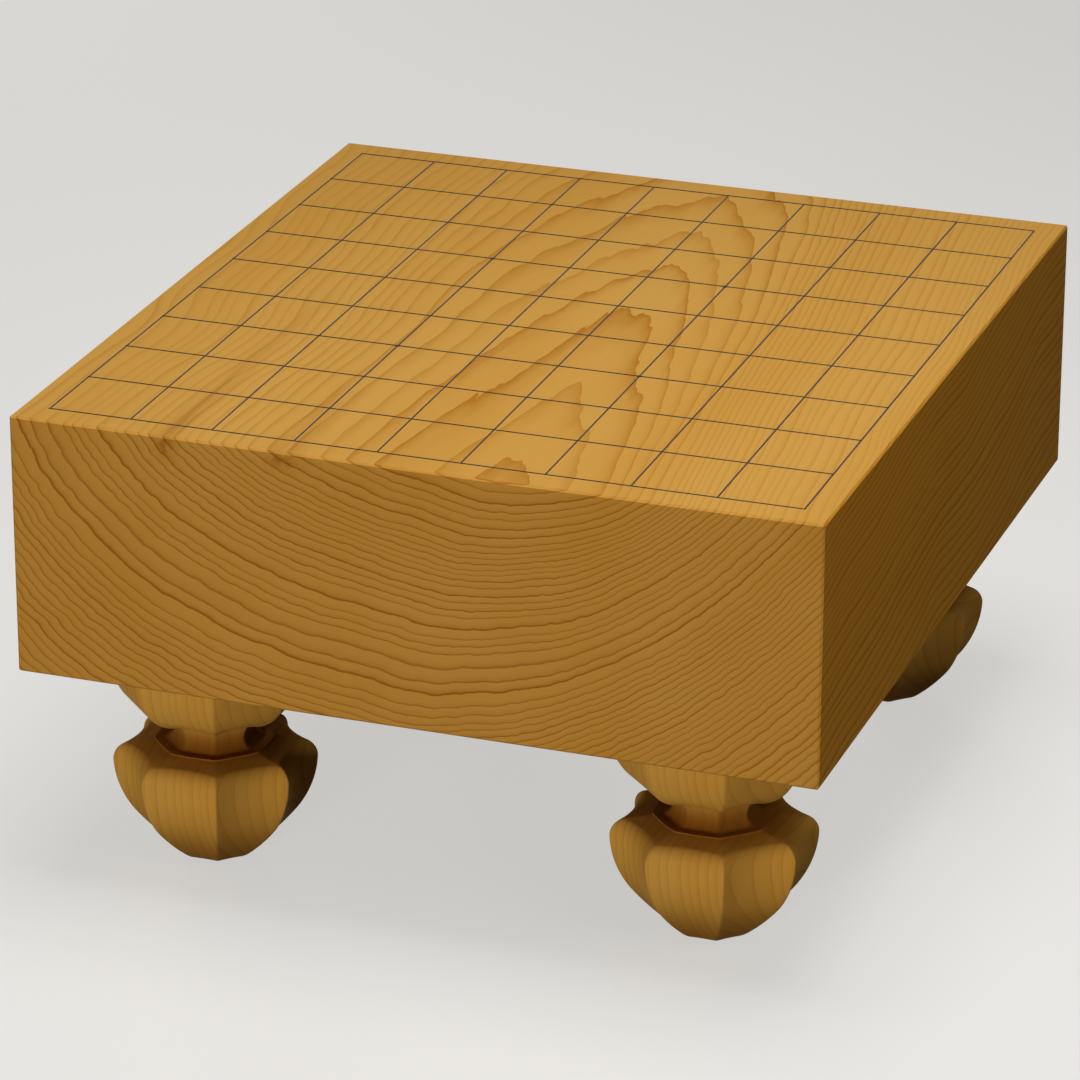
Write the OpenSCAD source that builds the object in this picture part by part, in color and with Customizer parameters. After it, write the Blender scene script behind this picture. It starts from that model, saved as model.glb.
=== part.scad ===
// A shogi board on four carved legs: one thick wooden block, a field of raised
// lacquer lines with four star points, and four legs whose round tenons push up
// into mortises in the underside of the block.
// The feet stand on z = 0, the player's side faces -Y, and the block is centred on the Z axis.

/* [Block] */
// Width of the block, across the player's side
board_w = 333; // [280:1:400]
// Depth of the block, from player to player
board_d = 363; // [300:1:430]
// Thickness of the block
board_h = 109; // [70:1:180]
// Small flat that breaks every edge of the block
edge_break = 0.8; // [0.3:0.1:3]

/* [Playing field] */
// Number of squares along each side of the field
cells = 9; // [7:1:13]
// Bare wood left outside the field on the left and right
margin_side = 11.8; // [6:0.1:30]
// Bare wood left outside the field at the front and back
margin_end = 12.8; // [6:0.1:30]
// Width of a lacquer line
line_w = 0.8; // [0.4:0.1:2]
// Thickness of one coat of lacquer
coat = 0.12; // [0.05:0.01:0.4]
// Number of squares from the corner of the field to a star point
star_cells = 3; // [2:1:3]
// Diameter of a star point
star_d = 2.4; // [1.5:0.1:6]

/* [Leg places] */
// From the left or right side of the block to a leg's axis
leg_inset_side = 59.5; // [52:0.5:80]
// From the front or back of the block to a leg's axis
leg_inset_end = 58.5; // [52:0.5:80]

/* [Leg heights, from the floor up] */
// Height of the lower flank
flank_h = 18.2; // [13:0.1:24]
// Height of the lower half of the belly
belly_h = 22.8; // [16:0.1:28]
// Height of the round shoulder over the belly
shoulder_h = 7.1; // [5:0.1:9]
// Height of the crown from the shoulder to the foot of the lip
crown_h = 1.1; // [0.5:0.1:3]
// Height of the lip round the neck
lip_h = 1.8; // [0.8:0.1:4]
// Height of the hollow neck
neck_h = 8.5; // [7:0.1:14]
// Height of the bowl of the collar
bowl_h = 24.5; // [16:0.1:30]
// Height of the straight band at the top of the collar
band_h = 11; // [4:0.1:16]

/* [Leg widths across ridges] */
// Width of the flat foot
foot_w = 28; // [20:0.2:38]
// Width where the lower flank runs into the belly
flank_w = 67; // [58:0.2:74]
// Width of the belly
belly_w = 84.2; // [78:0.2:90]
// Width where the round shoulder runs into the crown
shoulder_w = 76; // [68:0.2:80]
// Width of the lip
lip_w = 50; // [44:0.2:58]
// Width of the flat land inside the lip's edge
lip_land = 3; // [1:0.2:5]
// Width of the collar at its lower edge
collar_low_w = 39.8; // [36:0.2:46]
// Width of the collar at its top
collar_w = 84; // [76:0.2:92]

/* [Leg curves] */
// How far the lower flank swells from straight
flank_bulge = 0.5; // [0.2:0.1:2]
// How far the lower half of the belly swells from straight
belly_bulge = 1.9; // [0.5:0.1:3]
// How far the shoulder swells from straight
shoulder_bulge = 1.3; // [0.5:0.1:2]
// How far the crown swells from straight
crown_bulge = 0.6; // [0.2:0.1:1]
// How far the neck is hollowed
neck_hollow = 5.2; // [2:0.1:6]
// How far the bowl of the collar swells from straight
bowl_bulge = 5.1; // [2:0.1:6]
// How far the middle of a belly face lies inside the straight line between its ridges
face_hollow = 3.5; // [1:0.1:5]
// Straight steps that each curve of the outline is carved in
curve_steps = 6; // [4:1:10]
// Flat strips that each hollow face of the body is carved in
face_steps = 5; // [2:1:8]

/* [Tenons] */
// Diameter of the tenon on top of a leg
tenon_d = 30; // [18:0.5:40]
// Length of the tenon
tenon_l = 28; // [15:0.5:45]
// Break on the end of the tenon
tenon_break = 1.5; // [0.5:0.1:3]
// Clearance round the tenon in its mortise
tenon_gap = 0.05; // [0.02:0.01:0.1]
// Room left above the tenon in its mortise
mortise_spare = 2; // [1:0.5:6]

/* [Hollow under the block] */
// Side of the square hollow in the middle of the underside
hollow_w = 90; // [50:1:110]
// Depth of the hollow at its walls
hollow_depth = 22; // [14:0.5:30]
// Width of the step round the mouth of the hollow
step_w = 8; // [4:0.5:14]
// Depth of the step
step_depth = 7; // [3:0.5:9]
// How far the peak in the middle stays below the mouth
peak_drop = 6; // [2:0.5:8]

/* [Hidden] */
// The field of lines.
lines = cells + 1;
field_w = board_w - 2 * margin_side;
field_d = board_d - 2 * margin_end;

// Half widths across ridges and heights of a leg's outline, each storey standing on the one below.
foot_point = [foot_w / 2, 0];
flank_point = [flank_w / 2, flank_h];
belly_point = [belly_w / 2, flank_point.y + belly_h];
shoulder_point = [shoulder_w / 2, belly_point.y + shoulder_h];
lip_low_point = [lip_w / 2, shoulder_point.y + crown_h];
lip_point = [lip_w / 2, lip_low_point.y + lip_h];
neck_low_point = [lip_w / 2 - lip_land, lip_point.y];
collar_low_point = [collar_low_w / 2, neck_low_point.y + neck_h];
bowl_point = [collar_w / 2, collar_low_point.y + bowl_h];
top_point = [collar_w / 2, bowl_point.y + band_h];

// Places of the block's underside and top, and of the legs' axes.
leg_h = top_point.y;
top_z = leg_h + board_h;
leg_x = board_w / 2 - leg_inset_side;
leg_y = board_d / 2 - leg_inset_end;

// A leg has eight faces. Those of the collar are flat, and those of the body are hollow: at every height
// a face is part of a circle round an upright axis that stands out in front of it.
sides = 8;
half_face = 180 / sides;
belly_chord = 2 * belly_point.x * sin(half_face);
belly_radius = (belly_chord * belly_chord / 4 + face_hollow * face_hollow) / (2 * face_hollow);
hollow_axis = belly_point.x * cos(half_face) - face_hollow + belly_radius;

// Overlap that lets a cutting shape reach past the face it cuts.
over = 1;
$fn = 96;

row_names = ["front", "back"];
side_names = ["left", "right"];

// Turns "front" or "left" into -1, and "back" or "right" into 1.
function sign_of(name) = (name == "front" || name == "left") ? -1 : 1;

// Place of a line of the field, counted from 1 at the left or front.
function line_place(i, length) = (i - 1) * length / cells - length / 2;

// Points of the arc that climbs from p to q and swells outwards by rise, or is hollow if rise < 0.
// The last point, q, is left to what follows.
function arc_points(p, q, rise) =
    let (
        chord = norm(q - p),
        outwards = [q.y - p.y, p.x - q.x] / chord,
        radius = (chord * chord / 4 + rise * rise) / (2 * rise),
        centre = (p + q) / 2 + outwards * (rise - radius),
        half_angle = 2 * atan(2 * rise / chord),
        middle_angle = atan2(outwards.y, outwards.x)
    )
    [for (i = [0:curve_steps - 1])
        let (angle = middle_angle + half_angle * (2 * i / curve_steps - 1))
        centre + radius * [cos(angle), sin(angle)]];

// A rectangle with its four corners cut off.
module broken_rectangle(w, h) {
    x = w / 2;
    y = h / 2;
    cut = edge_break;
    polygon([
        [x - cut, -y], [x, cut - y], [x, y - cut], [x - cut, y],
        [cut - x, y], [-x, y - cut], [-x, cut - y], [cut - x, -y]
    ]);
}

// A plain block with all its edges broken, standing on z = 0.
module broken_block() {
    translate([0, 0, board_h / 2])
    intersection() {
        linear_extrude(board_h, center = true)
            broken_rectangle(board_w, board_d);
        rotate([90, 0, 0])
            linear_extrude(board_d, center = true)
                broken_rectangle(board_w, board_h);
        rotate([90, 0, 90])
            linear_extrude(board_w, center = true)
                broken_rectangle(board_d, board_h);
    }
}

// A square pyramid w wide that hangs h down from height z.
module hanging_pyramid(w, z, h) {
    slope = [[-w / 2, z + over], [-w / 2, z], [0, z - h], [w / 2, z], [w / 2, z + over]];
    intersection() {
        rotate([90, 0, 0]) linear_extrude(w, center = true) polygon(slope);
        rotate([90, 0, 90]) linear_extrude(w, center = true) polygon(slope);
    }
}

// The stepped square hollow in the underside, with a low pyramid left standing in it.
module underside_hollow() {
    floor_w = hollow_w - 2 * step_w;
    translate([-hollow_w / 2, -hollow_w / 2, -over])
        cube([hollow_w, hollow_w, step_depth + over]);
    difference() {
        translate([-floor_w / 2, -floor_w / 2, 0])
            cube([floor_w, floor_w, hollow_depth]);
        hanging_pyramid(floor_w, hollow_depth, hollow_depth - peak_drop);
    }
}

module board_block() {
    color("#c89446")
    translate([0, 0, leg_h])
    difference() {
        broken_block();
        underside_hollow();
        for (x = [-leg_x, leg_x], y = [-leg_y, leg_y])
            translate([x, y, -over])
                cylinder(d = tenon_d + 2 * tenon_gap, h = tenon_l + mortise_spare + over);
    }
}

// The points of one level of the body, whose ridges are this far from the leg's axis: eight hollow faces
// in strips, counterclockwise, from the ridge just before the face towards +X.
function body_level(ridge, z) =
    let (
        radius = sqrt(ridge * ridge + hollow_axis * hollow_axis - 2 * ridge * hollow_axis * cos(half_face)),
        spread = asin(ridge * sin(half_face) / radius)
    )
    [for (face = [0:sides - 1], strip = [0:face_steps - 1])
        let (
            turn = face * 2 * half_face,
            angle = spread * (2 * strip / face_steps - 1),
            out = hollow_axis - radius * cos(angle),
            along = radius * sin(angle)
        )
        [out * cos(turn) - along * sin(turn), out * sin(turn) + along * cos(turn), z]];

// The body of a leg, from the foot to the lip: a skin over its levels, closed at the foot and the lip.
module leg_body() {
    ridge = concat(
        arc_points(foot_point, flank_point, flank_bulge),
        arc_points(flank_point, belly_point, belly_bulge),
        arc_points(belly_point, shoulder_point, shoulder_bulge),
        arc_points(shoulder_point, lip_low_point, crown_bulge),
        [lip_low_point, lip_point]
    );
    round_count = sides * face_steps;
    top = len(ridge) - 1;
    polyhedron(
        points = [for (p = ridge) each body_level(p.x, p.y)],
        faces = concat(
            [[for (i = [0:round_count - 1]) i]],
            [for (level = [0:top - 1], i = [0:round_count - 1])
                let (here = level * round_count, next = (i + 1) % round_count)
                [here + i, here + round_count + i, here + round_count + next, here + next]],
            [[for (i = [round_count - 1:-1:0]) top * round_count + i]]
        )
    );
}

// The outline of the neck and collar, seen square to one of the flat faces.
module collar_outline() {
    ridge = concat(
        [[neck_low_point.x, neck_low_point.y - over]],
        arc_points(neck_low_point, collar_low_point, -neck_hollow),
        arc_points(collar_low_point, bowl_point, bowl_bulge),
        [bowl_point, top_point]
    );
    right_side = [for (p = ridge) [p.x * cos(half_face), p.y]];
    left_side = [for (i = [len(right_side) - 1:-1:0]) [-right_side[i].x, right_side[i].y]];
    polygon(concat(right_side, left_side));
}

// The neck and collar: the outline run through in four directions.
module leg_collar() {
    intersection_for(i = [0:sides / 2 - 1])
        rotate([90, 0, i * 2 * half_face])
            linear_extrude(2 * collar_w, center = true)
                collar_outline();
}

// The round tenon, with its end broken.
module tenon() {
    r = tenon_d / 2;
    end_z = leg_h + tenon_l;
    rotate_extrude()
        polygon([
            [0, leg_h - over], [r, leg_h - over], [r, end_z - tenon_break],
            [r - tenon_break, end_z], [0, end_z]
        ]);
}

module leg(row, side) {
    color("#a8701f")
    translate([sign_of(side) * leg_x, sign_of(row) * leg_y, 0]) {
        leg_body();
        leg_collar();
        tenon();
    }
}

// A strip of lacquer from front to back, counted from the left.
module file_line(i) {
    color("#1c130c")
    translate([line_place(i, field_w) - line_w / 2, -field_d / 2 - line_w / 2, top_z])
        cube([line_w, field_d + line_w, coat]);
}

// A strip of lacquer from left to right, counted from the front, drawn over the other lines.
module rank_line(i) {
    color("#1c130c")
    difference() {
        translate([-field_w / 2 - line_w / 2, line_place(i, field_d) - line_w / 2, top_z])
            cube([field_w + line_w, line_w, 2 * coat]);
        for (j = [1:lines]) file_line(j);
    }
}

// A round spot of lacquer set over a crossing of two lines.
module star_point(row, side) {
    file = side == "left" ? star_cells + 1 : lines - star_cells;
    rank = row == "front" ? star_cells + 1 : lines - star_cells;
    color("#1c130c")
    difference() {
        translate([line_place(file, field_w), line_place(rank, field_d), top_z])
            cylinder(d = star_d, h = 3 * coat);
        file_line(file);
        rank_line(rank);
    }
}

board_block();
for (row = row_names, side = side_names)
    leg(row, side);
for (i = [1:lines])
    file_line(i);
for (i = [1:lines])
    rank_line(i);
for (row = row_names, side = side_names)
    star_point(row, side);
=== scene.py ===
import math

import bmesh
import bpy
from mathutils import Matrix, Vector


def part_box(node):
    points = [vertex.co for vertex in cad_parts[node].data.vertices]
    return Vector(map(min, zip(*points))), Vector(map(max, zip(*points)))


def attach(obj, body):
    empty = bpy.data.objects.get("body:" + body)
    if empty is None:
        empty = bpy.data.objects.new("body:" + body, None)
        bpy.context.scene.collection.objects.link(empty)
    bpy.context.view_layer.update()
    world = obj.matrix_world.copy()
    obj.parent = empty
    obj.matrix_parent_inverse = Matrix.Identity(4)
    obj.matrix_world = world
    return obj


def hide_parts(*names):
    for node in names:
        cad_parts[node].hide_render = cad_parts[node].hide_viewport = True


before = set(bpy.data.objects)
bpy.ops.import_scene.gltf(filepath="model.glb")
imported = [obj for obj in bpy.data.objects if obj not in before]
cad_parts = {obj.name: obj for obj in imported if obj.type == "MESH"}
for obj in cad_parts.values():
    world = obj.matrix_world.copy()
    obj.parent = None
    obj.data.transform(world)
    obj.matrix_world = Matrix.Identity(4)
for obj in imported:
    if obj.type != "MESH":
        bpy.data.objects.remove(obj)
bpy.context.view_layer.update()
scene = bpy.context.scene
mm = 0.001


# shader helpers

white = (1.0, 1.0, 1.0, 1)


def colour(red, green, blue):  # screen values 0-255 to a linear colour
    def straight(value):
        value /= 255
        return value / 12.92 if value <= 0.04045 else ((value + 0.055) / 1.055) ** 2.4
    return (straight(red), straight(green), straight(blue), 1)


def feed(socket, value):  # link a signal or a socket, or set a plain value
    if isinstance(value, Signal):
        value = value.socket
    if isinstance(value, bpy.types.NodeSocket):
        socket.id_data.links.new(value, socket)
    else:
        socket.default_value = value


class Signal:  # a node's output that can be used in a formula
    def __init__(self, socket):
        self.socket = socket

    def run(self, operation, *others):
        node = self.socket.id_data.nodes.new("ShaderNodeMath")
        node.operation = operation
        for socket, value in zip(node.inputs, (self,) + others):
            feed(socket, value)
        return Signal(node.outputs[0])

    def __add__(self, other):
        return self.run("ADD", other)

    def __sub__(self, other):
        return self.run("SUBTRACT", other)

    def __mul__(self, other):
        return self.run("MULTIPLY", other)

    def __truediv__(self, other):
        return self.run("DIVIDE", other)

    def root(self):
        return self.run("SQRT")

    def fade(self, reach):  # 1 at nought, falling off like a bell
        ratio = self / reach
        return (ratio * ratio * -1.0).run("EXPONENT")


def newMaterial(name):
    material = bpy.data.materials.new(name)
    material.use_nodes = True
    return material, material.node_tree, material.node_tree.nodes["Principled BSDF"]


def mapped(tree, vector, scale, shift=(0, 0, 0)):
    node = tree.nodes.new("ShaderNodeMapping")
    node.inputs["Location"].default_value = shift
    node.inputs["Scale"].default_value = scale
    feed(node.inputs["Vector"], vector)
    return node.outputs[0]


def coordinates(tree, kind, scale=1.0, shift=(0, 0, 0)):
    source = tree.nodes.new("ShaderNodeTexCoord").outputs[kind]
    return mapped(tree, source, (scale,) * 3, shift)


def parts(tree, vector):
    node = tree.nodes.new("ShaderNodeSeparateXYZ")
    feed(node.inputs[0], vector)
    return [Signal(socket) for socket in node.outputs]


def joined(tree, x, y, z):
    node = tree.nodes.new("ShaderNodeCombineXYZ")
    for socket, value in zip(node.inputs, (x, y, z)):
        feed(socket, value)
    return node.outputs[0]


def noise(tree, vector, size, detail=1.0):  # about -0.5 to 0.5, lumps as big as size
    node = tree.nodes.new("ShaderNodeTexNoise")
    node.inputs["Scale"].default_value = 1 / size
    node.inputs["Detail"].default_value = detail
    feed(node.inputs["Vector"], vector)
    return Signal(node.outputs["Fac"]) - 0.5


def noiseAlong(tree, value, size):  # the same along a line
    node = tree.nodes.new("ShaderNodeTexNoise")
    node.noise_dimensions = "1D"
    node.inputs["Scale"].default_value = 1 / size
    node.inputs["Detail"].default_value = 1.0
    feed(node.inputs["W"], value)
    return Signal(node.outputs["Fac"]) - 0.5


def chance(tree, value):  # one random number for each whole value
    node = tree.nodes.new("ShaderNodeTexWhiteNoise")
    node.noise_dimensions = "1D"
    feed(node.inputs["W"], value)
    return Signal(node.outputs["Value"])


def curve(tree, value, stops):  # grey ramp through (place, level)
    node = tree.nodes.new("ShaderNodeValToRGB")
    elements = node.color_ramp.elements
    while len(elements) < len(stops):
        elements.new(1.0)
    for element, (place, level) in zip(elements, stops):
        element.position = place
        element.color = (level, level, level, 1)
    feed(node.inputs[0], value)
    return Signal(node.outputs[0])


def mix(tree, amount, first, second, kind="MIX"):
    node = tree.nodes.new("ShaderNodeMix")
    node.data_type = "RGBA"
    node.blend_type = kind
    feed(node.inputs["Factor"], amount)
    feed(node.inputs[6], first)  # the colour sockets among the node's hidden ones
    feed(node.inputs[7], second)
    return node.outputs[2]


def tinted(tree, tone, tint):
    return mix(tree, 1.0, tone, tint, "MULTIPLY")


def bump(tree, height, distance, strength):
    node = tree.nodes.new("ShaderNodeBump")
    node.inputs["Strength"].default_value = strength
    node.inputs["Distance"].default_value = distance
    feed(node.inputs["Height"], height)
    return node.outputs[0]


# camera, floor and lamps

cameraSettings = {
    "place": (0.6859, -1.9660, 0.9640),
    "turn": (67.5645, -0.1249, 19.5491),  # degrees
    "lens": 179.641,
    "sensor": 36.0,
}


def makeCamera(settings):
    data = bpy.data.cameras.new("camera")
    data.lens = settings["lens"]
    data.sensor_width = settings["sensor"]
    camera = bpy.data.objects.new("camera", data)
    camera.location = settings["place"]
    camera.rotation_euler = [math.radians(angle) for angle in settings["turn"]]
    scene.collection.objects.link(camera)
    scene.camera = camera


stageSettings = {
    "size": 14.0,
    "seen": colour(150, 148, 145),   # what the camera sees
    "glow": colour(226, 225, 222), "glowStrength": 0.72,
    "bounce": colour(56, 52, 46),    # what lights the underside
    "roughness": 0.9, "specular": 0.1,
    "worldSeen": colour(232, 231, 229),
    "worldLight": (0.07, 0.07, 0.07, 1),
}


def seenDirectly(tree):  # by the camera, or in a reflection or through glass
    path = tree.nodes.new("ShaderNodeLightPath")
    camera, glossy, through = (Signal(path.outputs[name]) for name in
                               ("Is Camera Ray", "Is Glossy Ray", "Is Transmission Ray"))
    return camera.run("MAXIMUM", glossy).run("MAXIMUM", through)


def makeFloor(settings):
    mesh = bpy.data.meshes.new("floor")
    grid = bmesh.new()
    bmesh.ops.create_grid(grid, x_segments=1, y_segments=1, size=settings["size"] / 2)
    grid.to_mesh(mesh)
    grid.free()
    floor = bpy.data.objects.new("floor", mesh)
    scene.collection.objects.link(floor)
    material, tree, shader = newMaterial("paleFloor")
    direct = seenDirectly(tree)
    feed(shader.inputs["Base Color"], mix(tree, direct, settings["bounce"], settings["seen"]))
    shader.inputs["Emission Color"].default_value = settings["glow"]
    feed(shader.inputs["Emission Strength"], direct * settings["glowStrength"])
    shader.inputs["Roughness"].default_value = settings["roughness"]
    shader.inputs["Specular IOR Level"].default_value = settings["specular"]
    mesh.materials.append(material)


def makeWorld(settings):
    world = bpy.data.worlds.new("studio")
    world.use_nodes = True
    tree = world.node_tree
    light = mix(tree, seenDirectly(tree), settings["worldLight"], settings["worldSeen"])
    feed(tree.nodes["Background"].inputs["Color"], light)
    scene.world = world


lampSettings = {  # spread in degrees; only the top lamp shows in the lacquer
    "topLamp": {"place": (0.15, -0.1, 1.45), "aim": (0.1, -0.25, 0.2),
                "size": 0.8, "spread": 115, "power": 6.0, "glints": True},
    "frontLamp": {"place": (-0.45, -4.2, 0.5), "aim": (0, 0, 0.1),
                  "size": 0.9, "spread": 40, "power": 4.9, "glints": False},
    "sideLamp": {"place": (1.0, -0.5, 0.8), "aim": (0.17, -0.2, 0.15),
                 "size": 0.6, "spread": 90, "power": 0.62, "glints": False},
    "backLamp": {"place": (-1.3, 1.7, 0.22), "aim": (0, 0, 0.12),
                 "size": 0.4, "spread": 60, "power": 2.2, "glints": False},
}


def makeLamps(settings):
    for name, lamp in settings.items():
        data = bpy.data.lights.new(name, "AREA")
        data.size = lamp["size"]
        data.spread = math.radians(lamp["spread"])
        data.energy = lamp["power"]
        item = bpy.data.objects.new(name, data)
        item.location = lamp["place"]
        aim = Vector(lamp["aim"]) - Vector(lamp["place"])
        item.rotation_euler = aim.to_track_quat("-Z", "Y").to_euler()
        item.visible_camera = False
        item.visible_glossy = lamp["glints"]
        scene.collection.objects.link(item)


scene.view_settings.view_transform = "Standard"
makeCamera(cameraSettings)
makeFloor(stageSettings)
makeWorld(stageSettings)
makeLamps(lampSettings)
print("camera, floor and lamps set")


# what the woods of the block and of the legs share

woodFinish = {
    "faintest": 0.6,                           # the palest ring's line, where the darkest is 1
    "fibreSize": 0.7, "fibreRun": 0.03,        # mm across, and that as a share of the length
    "fibreTone": (0.88, 0.86, 0.82, 1), "fibreHeight": 0.6,
    "cloudDepth": 1.6,
    "detail": 2.0,
    "roughness": 0.52, "lateRoughness": 0.08,  # of spring wood, and what late wood adds
    "specular": 0.005,
    "relief": 0.00010, "reliefStrength": 0.4,  # metres, and how much of it shows
}


def countRings(tree, distance, spells):  # rings grown between the first spell and a distance
    counts = [0.0]
    for (near, thin), (far, wide) in zip(spells, spells[1:]):
        counts.append(counts[-1] + (far - near) * 2 / (thin + wide))
    first, last = spells[0][0], spells[-1][0]
    node = tree.nodes.new("ShaderNodeFloatCurve")
    for (far, wide), count in list(zip(spells, counts))[1:-1]:
        node.mapping.curves[0].points.new((far - first) / (last - first), count / counts[-1])
    node.mapping.update()
    feed(node.inputs["Value"], (distance - first) / (last - first))
    return Signal(node.outputs[0]) * counts[-1]


def ringPhase(tree, rings, wood, long):  # which ring, and how far through it
    for size, depth in wood["wobble"]:
        rings = rings + noise(tree, long, size) * depth
    shift = noiseAlong(tree, rings, wood["unevenSize"]) * wood["unevenness"]
    return countRings(tree, rings, wood["spells"]) + shift


def lateWood(tree, phase, line):  # 0 in spring wood, up to 1 at the dark edge of a ring
    faintest = woodFinish["faintest"]
    strength = chance(tree, phase.run("FLOOR")) * (1 - faintest) + faintest
    return curve(tree, phase.run("FRACT"), line) * strength


def fibres(tree, drawnOut):
    return noise(tree, drawnOut, woodFinish["fibreSize"], woodFinish["detail"])


def clouds(tree, long, size):
    return noise(tree, long, size, woodFinish["detail"]) * woodFinish["cloudDepth"] + 0.5


def finishWood(tree, shader, tone, fibre, late, lateSink):
    grey = mix(tree, fibre * 0.5 + 0.5, woodFinish["fibreTone"], white)
    feed(shader.inputs["Base Color"], tinted(tree, tone, grey))
    feed(shader.inputs["Roughness"], late * woodFinish["lateRoughness"] + woodFinish["roughness"])
    shader.inputs["Specular IOR Level"].default_value = woodFinish["specular"]
    height = fibre * woodFinish["fibreHeight"] - late * lateSink
    feed(shader.inputs["Normal"], bump(tree, height, woodFinish["relief"], woodFinish["reliefStrength"]))


# the block's wood: growth rings round a heart that lies above the top and rises to the back

blockWood = {  # mm from the middle of the top
    "topZ": 204.0,                     # the top and the front in the part's own frame
    "frontY": -181.5,
    "heartX": 40.0, "heartZ": 65.4,    # at the front
    "lean": 0.404, "drift": 0.075,     # sideways per mm of height, and per mm to the back
    "leftWidth": 0.38, "rightWidth": 1.036,  # what a step sideways counts for, left and right
    "turnAt": 40.0, "turnOver": 40.0,  # where the one passes into the other
    "spread": 0.00146,                 # more distance far out to either side
    "crest": 2.2, "crestReach": 18.0,  # draws the ring tips on the top out to points
    "rise": 0.038, "riseGrowth": 0.00006, "riseReach": 90.0,
    "spells": ((60.4, 3.85), (64.3, 4.0), (70, 4.6), (74, 3.0), (79, 3.6), (83, 4.2),
               (88, 4.2), (91, 2.6), (106, 2.5), (110, 3.4), (120, 3.5), (130, 4.0),
               (140, 4.6), (148, 5.8), (160, 5.8), (165, 3.6), (178, 3.4), (190, 3.8),
               (205, 3.6), (220, 4.2), (245, 5.0), (300, 6.0)),  # from the heart, ring width
    "unevenness": 0.7, "unevenSize": 9.0,
    "wobble": ((80.0, 2.4), (34.0, 3.0), (16.0, 1.2), (5.0, 1.1), (2.0, 0.3)),  # size, depth
    "alongGrain": 0.16,                # a lump's width as a share of its length
    "fluteSize": 7.0, "fluteGrowth": 0.022, "fluteStart": 55.0,  # small waves along a ring
    "fluteRun": 0.2, "fluteReach": 170.0,
    "swaySize": 130.0, "swayDepth": 28.0, "swayReach": 150.0, "swayAcross": 0.35,  # long waves
    "endLine": ((0, 0), (0.45, 0.06), (0.78, 0.28), (0.92, 0.95), (0.97, 1), (1, 0)),
    "longLine": ((0, 0), (0.50, 0.05), (0.75, 0.26), (0.92, 0.70), (0.985, 1), (1, 0)),
    "light": colour(213, 164, 82), "warm": colour(207, 153, 68), "dark": colour(178, 116, 34),
    # the end grain's colours are darker and more saturated, as real end grain is, and also stand in for part
    # of the front's shade as painted shade
    "endLight": colour(203, 149, 66), "endWarm": colour(194, 137, 52), "endDark": colour(150, 91, 17),
    # painted shade: the sides' colours are darker, more saturated copies of the top's and stand in for the
    # shade on the sides; their ring lines are the real grain
    "shadedSideLight": colour(205, 140, 34), "shadedSideDark": colour(130, 76, 14), "sideContrast": 0.9,
    "cloudSize": 60.0,
    "lateSink": 0.06,
    "figureX": 15.0, "figureReach": 85.0,  # where the rings on the top show most
    "plain": 0.5,                          # how much of them shows elsewhere
    "streakTone": (0.62, 0.45, 0.30, 1),
    "streaks": ({"x": -100.0, "z": -3.0, "width": 4.0, "depth": 5.0, "reach": 130.0},
                {"x": -51.5, "z": -3.0, "width": 6.0, "depth": 4.0, "reach": 70.0}),
    "raggedSize": 2.5, "raggedRun": 0.04, "raggedDepth": 2.4, "raggedLevel": 0.6,
}


def ringDistance(tree, at, wood):
    x, y, z = parts(tree, at)
    back = y - wood["frontY"]
    side = x - wood["heartX"] - z * wood["lean"] + back * wood["drift"]
    half = (wood["rightWidth"] - wood["leftWidth"]) / 2
    past = side - wood["turnAt"]
    sideRatio = past / (past * past + wood["turnOver"] ** 2).root()
    across = side * (sideRatio * half + (wood["leftWidth"] + half))
    down = z - wood["heartZ"]
    fromHeart = (across * across + down * down).root() + side * side * wood["spread"]
    climb = side / wood["riseReach"]
    lift = back * (back * wood["riseGrowth"] + wood["rise"]) / (climb * climb + 1.0)
    rings = fromHeart + lift - side.fade(wood["crestReach"]) * wood["crest"]
    turn = across.run("ARCTAN2", down * -1.0) * wood["fluteReach"]
    flutes = joined(tree, turn, back * wood["alongGrain"], rings * wood["fluteRun"])
    fluteDepth = (rings - wood["fluteStart"]) * wood["fluteGrowth"]
    out = side / wood["swayReach"]
    squeezed = mapped(tree, at, (wood["swayAcross"], 1, wood["swayAcross"]))
    sway = noise(tree, squeezed, wood["swaySize"]) * wood["swayDepth"] * out * out
    return rings + noise(tree, flutes, wood["fluteSize"]) * fluteDepth + sway


def streakMask(tree, at, wood):
    x, y, z = parts(tree, at)
    total = None
    for streak in wood["streaks"]:
        mask = (x - streak["x"]).fade(streak["width"]) * (z - streak["z"]).fade(streak["depth"])
        mask = mask * (y - wood["frontY"]).fade(streak["reach"])
        total = mask if total is None else total + mask
    drawnOut = mapped(tree, at, (1, wood["raggedRun"], 1))
    ragged = noise(tree, drawnOut, wood["raggedSize"], woodFinish["detail"])
    return total * (ragged * wood["raggedDepth"] + wood["raggedLevel"])


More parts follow.
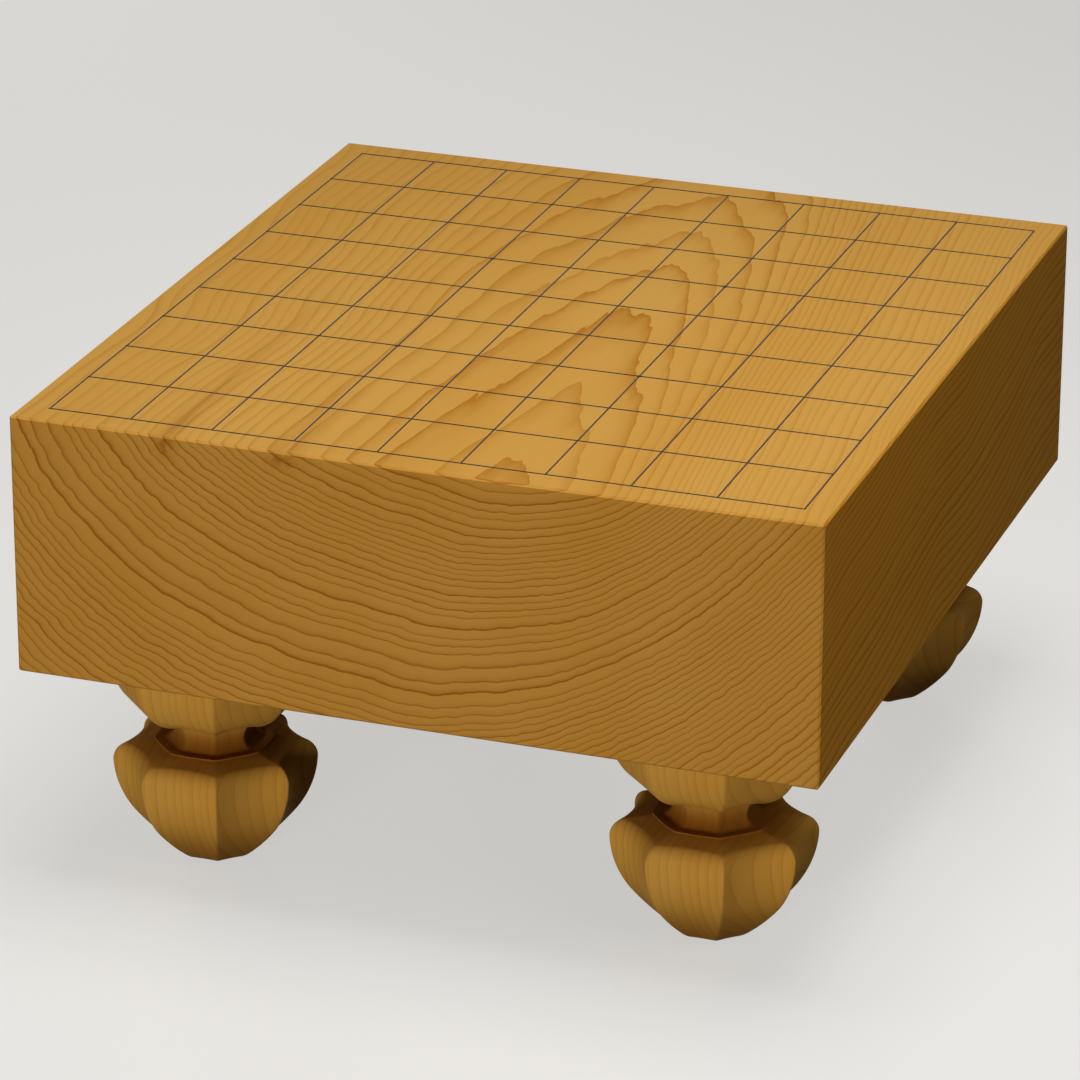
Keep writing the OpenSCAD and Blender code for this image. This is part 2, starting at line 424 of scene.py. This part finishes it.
def makeBlockWood(wood):
    material, tree, shader = newMaterial("blockWood")
    at = coordinates(tree, "Object", 1 / mm, (0, 0, -wood["topZ"]))
    long = mapped(tree, at, (1, wood["alongGrain"], 1))
    phase = ringPhase(tree, ringDistance(tree, at, wood), wood, long)
    endLate = lateWood(tree, phase, wood["endLine"])
    longLate = lateWood(tree, phase, wood["longLine"])
    across, along, _ = (part.run("ABSOLUTE") for part in parts(tree, coordinates(tree, "Normal")))
    fibre = fibres(tree, mapped(tree, at, (1, woodFinish["fibreRun"], 1)))
    cloud = clouds(tree, long, wood["cloudSize"])
    figure = (parts(tree, at)[0] - wood["figureX"]).fade(wood["figureReach"])
    figure = figure * (1 - wood["plain"]) + wood["plain"]
    topTone = mix(tree, longLate * figure, mix(tree, cloud, wood["light"], wood["warm"]), wood["dark"])
    # painted shade: faces turned to either side take the shaded side colours
    shadedSideTone = mix(tree, longLate * wood["sideContrast"], wood["shadedSideLight"], wood["shadedSideDark"])
    endTone = mix(tree, endLate, mix(tree, cloud, wood["endLight"], wood["endWarm"]), wood["endDark"])
    tone = mix(tree, along, mix(tree, across, topTone, shadedSideTone), endTone)
    tone = mix(tree, streakMask(tree, at, wood), tone, tinted(tree, tone, wood["streakTone"]))
    finishWood(tree, shader, tone, fibre, endLate, wood["lateSink"])
    return material


blockMaterial = makeBlockWood(blockWood)
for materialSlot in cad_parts["board_block"].material_slots:
    materialSlot.material = blockMaterial
print("block wood made")


# carved legs: a body with eight hollow faces, a lip, a hollow neck and an eight-sided collar

legShape = {  # mm; a point is a ridge's distance from the axis, and a height
    "foot": (14.0, 0.0), "flank": (33.5, 18.2), "belly": (42.1, 41.0),
    "shoulder": (36.0, 48.7), "lipLow": (25.0, 50.5), "lip": (25.0, 51.0),
    "neckLow": (22.5, 51.0), "waist": (16.8, 54.8), "collarLow": (26.0, 62.5),
    "bowl": (42.0, 84.0), "top": (42.0, 95.0),
    "flankBulge": 0.8, "bellyBulge": 1.9, "shoulderBulge": 1.86, "crownBulge": -0.3,
    "neckBulge": -1.83, "waistBulge": -2.8, "bowlBulge": 3.8,
    "footRub": 4.4, "footSteps": 4,         # how far in the edge of the foot is rubbed round
    "arch": 1.3, "archReach": 4.0,          # how far the collar's lower edge rises between two ridges
    "steps": 12,
    "faces": 8, "firstFace": -90.0,         # degrees from +X
    "hollow": 3.5, "hollowGrowth": 2.6,     # at the belly, and how fast it fades on thinner levels
    "lipRound": 1.4,                        # how far the lip fills out towards a circle
    "ridgeRub": 0.9, "arrisRub": 0.3,       # how far the edges are rubbed down
    "rubLimit": 0.2,                        # the most that a rubbed ridge takes of half a face
    "faceSteps": 8,
    "tenonHalf": 15.0, "tenonTop": 123.0, "tenonBreak": 1.5,
    "softEdge": 25.0,                       # degrees
}


def arc(start, end, bulge, steps):  # from start up to, but not with, end
    start, end = Vector(start), Vector(end)
    chord = end - start
    outwards = Vector((chord.y, -chord.x)).normalized()
    half = chord.length / 2
    radius = (half * half + bulge * bulge) / (2 * bulge)
    centre = (start + end) / 2 + outwards * (bulge - radius)
    sweep = 2 * math.atan(bulge / half)
    middle = math.atan2(outwards.y, outwards.x)
    angles = [middle + sweep * (2 * step / steps - 1) for step in range(steps)]
    return [tuple(centre + radius * Vector((math.cos(angle), math.sin(angle)))) for angle in angles]


def roundOff(start, corner, end, part):  # a point on the curve that takes the place of a corner
    return start.lerp(corner, part).lerp(corner.lerp(end, part), part)


def legStations(shape):  # (ridge, height, kind of section) from the foot to the end of the tenon
    steps, rub = shape["steps"], shape["arrisRub"]
    body = (arc(shape["foot"], shape["flank"], shape["flankBulge"], steps)
            + arc(shape["flank"], shape["belly"], shape["bellyBulge"], steps)
            + arc(shape["belly"], shape["shoulder"], shape["shoulderBulge"], steps)
            + arc(shape["shoulder"], shape["lipLow"], shape["crownBulge"], steps))
    neck = (arc(shape["neckLow"], shape["waist"], shape["neckBulge"], steps)
            + arc(shape["waist"], shape["collarLow"], shape["waistBulge"], steps))
    bowl = arc(shape["collarLow"], shape["bowl"], shape["bowlBulge"], 2 * steps)
    lip, lipHeight = shape["lip"]
    top, topHeight = shape["top"]
    tenon, tenonTop, tenonBreak = shape["tenonHalf"], shape["tenonTop"], shape["tenonBreak"]
    corner, rise = Vector(shape["foot"]), Vector(body[2])
    heel = corner - Vector((shape["footRub"], 0))
    footParts = [step / shape["footSteps"] for step in range(shape["footSteps"])]
    body[:2] = [tuple(roundOff(heel, corner, rise, part)) for part in footParts]
    hollow = body + [shape["lipLow"], (lip - rub, lipHeight)]
    flat = neck + bowl + [shape["bowl"], (top, topHeight - rub), (top - rub, topHeight)]
    turned = [(tenon, topHeight), (tenon, tenonTop - tenonBreak), (tenon - tenonBreak, tenonTop)]
    kinds = (("hollow", hollow), ("flat", flat), ("turned", turned))
    return [(ridge, height, kind) for kind, points in kinds for ridge, height in points]


def legSection(station, shape):  # the points of one level, in order round the leg
    ridge, height, kind = station
    halfTurn = math.pi / shape["faces"]
    out, half = ridge * math.cos(halfTurn), ridge * math.sin(halfTurn)
    depth = arch = 0
    if kind == "flat":
        arch = shape["arch"] * math.exp(-((height - shape["collarLow"][1]) / shape["archReach"]) ** 2)
    if kind == "hollow":
        depth = shape["hollow"] * (ridge / shape["belly"][0]) ** shape["hollowGrowth"]
    if kind == "hollow" and height > shape["shoulder"][1]:
        inwards = (shape["shoulder"][0] - ridge) / (shape["shoulder"][0] - shape["lip"][0])
        depth -= shape["lipRound"] * inwards ** 2

    def onFace(part):  # -1 and 1 are the ridges at the sides of a face
        inside = 1 - part * part
        return Vector((out - depth * inside, half * part, height + arch * inside))

    clear = 1 - min(shape["rubLimit"], shape["ridgeRub"] / half)
    steps = shape["faceSteps"]
    tip, after = onFace(-1), onFace(-clear)
    before = after.reflect(Vector((-tip.y, tip.x, 0)).normalized())
    crest, bend = (roundOff(before, tip, after, part) for part in (0.5, 0.75))
    face = [crest, bend] + [onFace(clear * (2 * step / steps - 1)) for step in range(steps + 1)]
    face.append(Vector((bend.x, -bend.y, bend.z)))
    points = []
    for number in range(shape["faces"]):
        turn = Matrix.Rotation(math.radians(shape["firstFace"]) + number * 2 * halfTurn, 3, "Z")
        points += [turn @ point for point in face]
    if kind == "turned":
        points = [(point.xy.normalized() * ridge).to_3d() + Vector((0, 0, height)) for point in points]
    return [point * mm for point in points]


def smoothAll(shell, sharpest):  # degrees; edges that turn more stay crisp
    bmesh.ops.recalc_face_normals(shell, faces=shell.faces)
    for face in shell.faces:
        face.smooth = True
    for edge in shell.edges:
        edge.smooth = edge.calc_face_angle(0) < math.radians(sharpest)


def addPiece(name, shell):
    mesh = bpy.data.meshes.new(name)
    shell.to_mesh(mesh)
    shell.free()
    piece = bpy.data.objects.new(name, mesh)
    scene.collection.objects.link(piece)
    return piece


def makeLeg(node, shape):  # a ring of points drawn up from level to level
    low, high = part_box(node)
    foot = Vector(((low[0] + high[0]) / 2, (low[1] + high[1]) / 2, low[2]))
    levels = [legSection(station, shape) for station in legStations(shape)]
    shell = bmesh.new()
    order = shell.verts.layers.int.new("order")
    ring = bmesh.ops.create_circle(shell, segments=len(levels[0]), radius=1)["verts"]
    for index, vert in enumerate(ring):
        vert[order] = index
    footEdges = edges = list(shell.edges)
    for number, level in enumerate(levels):
        if number:
            grown = bmesh.ops.extrude_edge_only(shell, edges=edges)["geom"]
            ring = [item for item in grown if isinstance(item, bmesh.types.BMVert)]
            fresh = set(ring)
            edges = [item for item in grown if isinstance(item, bmesh.types.BMEdge)]
            edges = [edge for edge in edges if fresh.issuperset(edge.verts)]
        for vert in ring:
            vert.co = foot + level[vert[order]]
    bmesh.ops.edgeloop_fill(shell, edges=footEdges)
    bmesh.ops.edgeloop_fill(shell, edges=edges)
    smoothAll(shell, shape["softEdge"])
    return addPiece(node.replace("leg_", "carved_leg_"), shell)


legWood = {  # mm from the leg's axis and from the floor
    "spells": ((300, 4.2), (380, 4.6), (395, 3.2), (412, 4.8), (430, 3.8), (500, 4.5)),
    "unevenness": 0.8, "unevenSize": 11.0,
    "wobble": ((60.0, 1.4), (14.0, 0.6), (3.5, 0.3)),
    "alongGrain": 0.12,
    "line": ((0, 0), (0.40, 0.10), (0.78, 0.42), (0.93, 0.95), (0.97, 1), (1, 0)),
    "heart": 400.0,      # from the leg's axis to the heart of the wood
    "heartTurns": {"front_left": 186.0, "front_right": 174.0, "back_left": 8.0, "back_right": -14.0},
    "light": colour(219, 165, 75), "warm": colour(213, 153, 60), "dark": colour(174, 112, 30),
    "contrast": 0.42,
    "cloudSize": 30.0,
    "lateSink": 0.2,
    # painted shade: the neck's groove and the crown around it are darkened where shade falls under the collar
    # and the block
    "paintedShadeTone": (0.36, 0.25, 0.16, 1), "grooveHeight": 52.0, "grooveReach": 8.0,
    "grooveRadius": 22.0, "grooveSpread": 14.0,
    "footReach": 20.0, "footShadeDepth": 0.8,  # painted shade: the foot is darkened with the same painted-shade tone
}


def makeLegWood(place, axis, wood):
    material, tree, shader = newMaterial("legWood_" + place)
    at = coordinates(tree, "Object", 1 / mm, (-axis.x / mm, -axis.y / mm, 0))
    long = mapped(tree, at, (1, 1, wood["alongGrain"]))
    x, y, z = parts(tree, at)
    # painted shade, darkest in the neck's groove, fading over the crown, and again towards the foot
    beyond = ((x * x + y * y).root() - wood["grooveRadius"]).run("MAXIMUM", 0.0)
    paintedShade = beyond.fade(wood["grooveSpread"]) * (z - wood["grooveHeight"]).fade(wood["grooveReach"])
    paintedShade = paintedShade.run("MAXIMUM", z.fade(wood["footReach"]) * wood["footShadeDepth"])
    turn = math.radians(wood["heartTurns"][place])
    x = x - math.cos(turn) * wood["heart"]
    y = y - math.sin(turn) * wood["heart"]
    late = lateWood(tree, ringPhase(tree, (x * x + y * y).root(), wood, long), wood["line"])
    fibre = fibres(tree, mapped(tree, at, (1, 1, woodFinish["fibreRun"])))
    cloud = clouds(tree, long, wood["cloudSize"])
    tone = mix(tree, late * wood["contrast"], mix(tree, cloud, wood["light"], wood["warm"]), wood["dark"])
    tone = mix(tree, paintedShade, tone, tinted(tree, tone, wood["paintedShadeTone"]))
    finishWood(tree, shader, tone, fibre, late, wood["lateSink"])
    return material


for place in legWood["heartTurns"]:
    leg = makeLeg("leg_" + place, legShape)
    low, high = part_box("leg_" + place)
    leg.data.materials.append(makeLegWood(place, (Vector(low) + Vector(high)) / 2, legWood))
    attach(leg, place + "_leg")
    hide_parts("leg_" + place)
print("legs carved")


# raised lacquer: a bead for each line and a drop for each star point

lacquerFinish = {
    "black": colour(14, 10, 7), "brown": colour(36, 25, 14),
    "wear": 0.35, "wearSize": 9.0, "wearDetail": 3.0,        # how much of the brown shows
    "roughness": 0.38, "unevenness": 0.2, "unevenSize": 2.0,
    "specular": 0.2,
}

lacquerShape = {
    "beadSides": 16,
    "dropSides": 24, "dropRings": 16,
    "softEdge": 40.0,  # degrees
}


def makeLacquer(finish):
    material, tree, shader = newMaterial("lineLacquer")
    at = coordinates(tree, "Object", 1 / mm)
    worn = noise(tree, at, finish["wearSize"], finish["wearDetail"]) + finish["wear"]
    feed(shader.inputs["Base Color"], mix(tree, worn, finish["black"], finish["brown"]))
    uneven = noise(tree, at, finish["unevenSize"]) * finish["unevenness"]
    feed(shader.inputs["Roughness"], uneven + finish["roughness"])
    shader.inputs["Specular IOR Level"].default_value = finish["specular"]
    return material


def cutAtFoot(shell, height, softEdge):  # keep what stands above the wood
    cut = bmesh.ops.bisect_plane(shell, geom=shell.verts[:] + shell.edges[:] + shell.faces[:],
                                 plane_co=(0, 0, height), plane_no=(0, 0, 1), clear_inner=True)
    rim = [item for item in cut["geom_cut"] if isinstance(item, bmesh.types.BMEdge)]
    bmesh.ops.edgeloop_fill(shell, edges=rim)
    smoothAll(shell, softEdge)


def makeBead(node, shape):
    low, high = (Vector(corner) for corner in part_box(node))
    size = high - low
    along = "Y" if size.y > size.x else "X"
    width, length = min(size.x, size.y), max(size.x, size.y)
    shell = bmesh.new()
    bmesh.ops.create_cone(shell, cap_ends=True, segments=shape["beadSides"],
                          radius1=width / 2, radius2=width / 2, depth=length)
    tilt = Matrix.Rotation(math.pi / 2, 4, "X" if along == "Y" else "Y")
    bmesh.ops.transform(shell, matrix=tilt, verts=shell.verts)
    bmesh.ops.scale(shell, vec=(1, 1, 2 * size.z / width), verts=shell.verts)
    bmesh.ops.translate(shell, vec=((low.x + high.x) / 2, (low.y + high.y) / 2, low.z), verts=shell.verts)
    cutAtFoot(shell, low.z, shape["softEdge"])
    return addPiece(node.replace("line", "bead"), shell)


def makeDrop(node, shape):
    low, high = (Vector(corner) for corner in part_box(node))
    size = high - low
    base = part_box("board_block")[1][2]
    shell = bmesh.new()
    bmesh.ops.create_uvsphere(shell, u_segments=shape["dropSides"], v_segments=shape["dropRings"], radius=0.5)
    bmesh.ops.scale(shell, vec=(size.x, size.y, 2 * (high.z - base)), verts=shell.verts)
    bmesh.ops.translate(shell, vec=((low.x + high.x) / 2, (low.y + high.y) / 2, base), verts=shell.verts)
    cutAtFoot(shell, base, shape["softEdge"])
    return addPiece(node.replace("point", "drop"), shell)


lacquer = makeLacquer(lacquerFinish)
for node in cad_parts:
    if "_line_" in node:
        piece = makeBead(node, lacquerShape)
    elif node.startswith("star_point"):
        piece = makeDrop(node, lacquerShape)
    else:
        continue
    piece.data.materials.append(lacquer)
    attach(piece, "board")
    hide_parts(node)
print("lacquer drawn")
